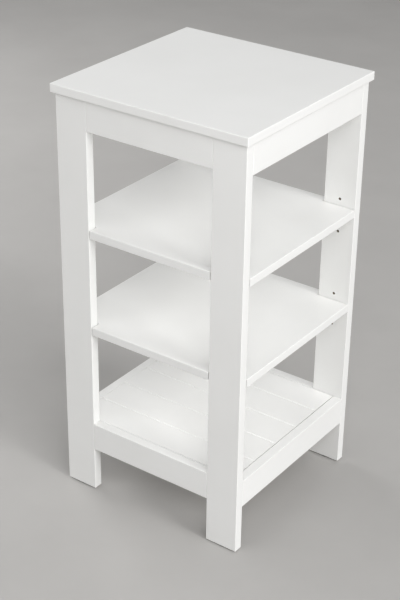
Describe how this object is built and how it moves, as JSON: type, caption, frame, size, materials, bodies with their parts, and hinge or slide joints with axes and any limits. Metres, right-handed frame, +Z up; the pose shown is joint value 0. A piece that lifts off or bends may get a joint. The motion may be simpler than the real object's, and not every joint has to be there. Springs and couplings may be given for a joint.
{
  "type": "open shelf unit",
  "caption": "Tall open shelf unit on flat board legs, with an overhanging top board, loose notched shelves and a planked base panel framed by rails.",
  "frame": {"origin": "on the floor, under the middle of the unit", "axes": "+Z up, the front with the wide leg faces looks along -Y, +X to the right seen from the front"},
  "size_m": [0.4, 0.386, 0.8],
  "materials": {
    "white_lacquer": "satin white lacquer",
    "raw_pine": "sawn",
    "beech": "raw",
    "zinc_steel": "zinc plated",
    "grey_nylon": "matte"
  },
  "bodies": {
    "frame": {"top_board": "white_lacquer", "leg_front_left": "white_lacquer", "leg_front_right": "white_lacquer", "leg_back_left": "white_lacquer", "leg_back_right": "white_lacquer", "apron_front": "white_lacquer", "apron_back": "white_lacquer", "apron_left": "white_lacquer", "apron_right": "white_lacquer", "rail_front": "white_lacquer", "rail_back": "white_lacquer", "rail_left": "white_lacquer", "rail_right": "white_lacquer", "base_panel": "white_lacquer", "batten_left": "raw_pine", "batten_right": "raw_pine", "shelf_pins_upper": "zinc_steel", "shelf_pins_lower": "zinc_steel", "top_dowels": "beech", "apron_dowels": "beech", "rail_dowels": "beech", "top_brackets": "zinc_steel", "bracket_screws": "zinc_steel", "batten_screws": "zinc_steel", "foot_glides": "grey_nylon"},
    "upper_shelf": {"shelf_upper": "white_lacquer"},
    "lower_shelf": {"shelf_lower": "white_lacquer"}
  },
  "joints": [
    {"name": "upper_shelf_lift", "type": "slide", "parent": "frame", "child": "upper_shelf", "axis": [0, 0, 1], "range_m": [0, 0.18]},
    {"name": "lower_shelf_lift", "type": "slide", "parent": "frame", "child": "lower_shelf", "axis": [0, 0, 1], "range_m": [0, 0.165]}
  ]
}
